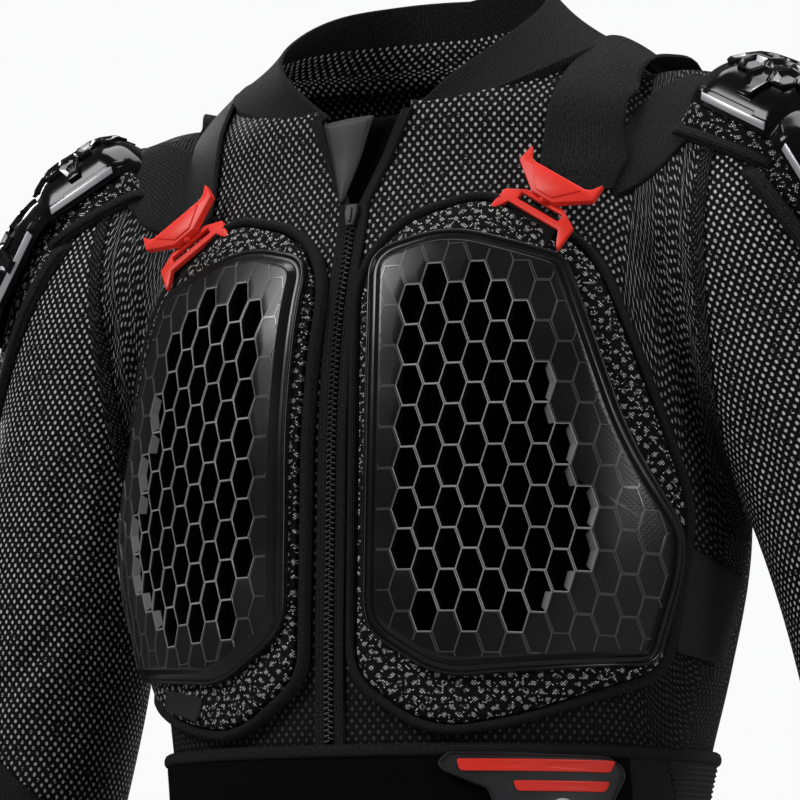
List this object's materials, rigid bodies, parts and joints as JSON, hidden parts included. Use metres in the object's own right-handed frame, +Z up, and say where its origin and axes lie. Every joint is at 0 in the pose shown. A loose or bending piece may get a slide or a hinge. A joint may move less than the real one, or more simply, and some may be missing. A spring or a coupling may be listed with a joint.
{
  "type": "protective racing jacket",
  "caption": "Long-sleeved black mesh jacket with honeycomb chest plates on foam pads, hard shoulder and arm guards, red buckled shoulder straps and a wide kidney belt.",
  "frame": {"origin": "middle of the neck base, where the wearer's neck goes in", "axes": "+X to the wearer's left, -Y out of the chest, +Z up"},
  "size_m": [0.7522, 0.3066, 0.7611],
  "materials": {
    "mesh_cloth": "open black mesh with pale knots",
    "knit": "ribbed black knit",
    "tape": "woven black tape",
    "zip_coil": "satin black coil",
    "foam": "black spacer cloth over foam with pale specks",
    "black_plastic": "glossy black",
    "red_plastic": "satin signal red",
    "elastic": "ribbed black elastic",
    "reflective": "silver-grey reflective",
    "velour": "black hook-and-loop velour",
    "label_cloth": "plain black satin",
    "badge_rubber": "moulded black rubber"
  },
  "bodies": {
    "root": {"front_panel_left": "mesh_cloth", "front_panel_right": "mesh_cloth", "back_panel": "mesh_cloth", "sleeve_left": "mesh_cloth", "sleeve_right": "mesh_cloth", "cuff_left": "knit", "cuff_right": "knit", "collar": "knit", "zip_tape_left": "tape", "zip_tape_right": "tape", "zip_teeth": "zip_coil", "zip_slider": "zip_coil", "zip_guard": "knit", "chest_pad_left": "foam", "chest_pad_right": "foam", "chest_piping_left": "knit", "chest_piping_right": "knit", "chest_plate_left": "black_plastic", "chest_plate_right": "black_plastic", "buckle_plate_left": "red_plastic", "buckle_plate_right": "red_plastic", "buckle_hook_left": "red_plastic", "buckle_hook_right": "red_plastic", "buckle_tab_left": "elastic", "buckle_tab_right": "elastic", "neck_strap_left": "elastic", "neck_strap_right": "elastic", "side_strap_left": "elastic", "side_strap_right": "elastic", "shoulder_pad_left": "foam", "shoulder_pad_right": "foam", "shoulder_cup_left": "black_plastic", "shoulder_cup_right": "black_plastic", "shoulder_strip_left": "reflective", "shoulder_strip_right": "reflective", "arm_pad_left": "foam", "arm_pad_right": "foam", "arm_shell_left": "black_plastic", "arm_shell_right": "black_plastic", "arm_strip_left": "reflective", "arm_strip_right": "reflective", "elbow_band_left": "elastic", "elbow_band_right": "elastic", "belt_front": "velour", "belt_tape_left": "tape", "belt_tape_right": "tape", "belt_elastic_left": "elastic", "belt_elastic_right": "elastic", "belt_back": "velour", "belt_binding": "knit", "badge": "badge_rubber", "badge_bar_1": "red_plastic", "badge_bar_2": "red_plastic", "badge_disc": "reflective", "label_left": "label_cloth", "label_right": "label_cloth"}
  },
  "joints": []
}
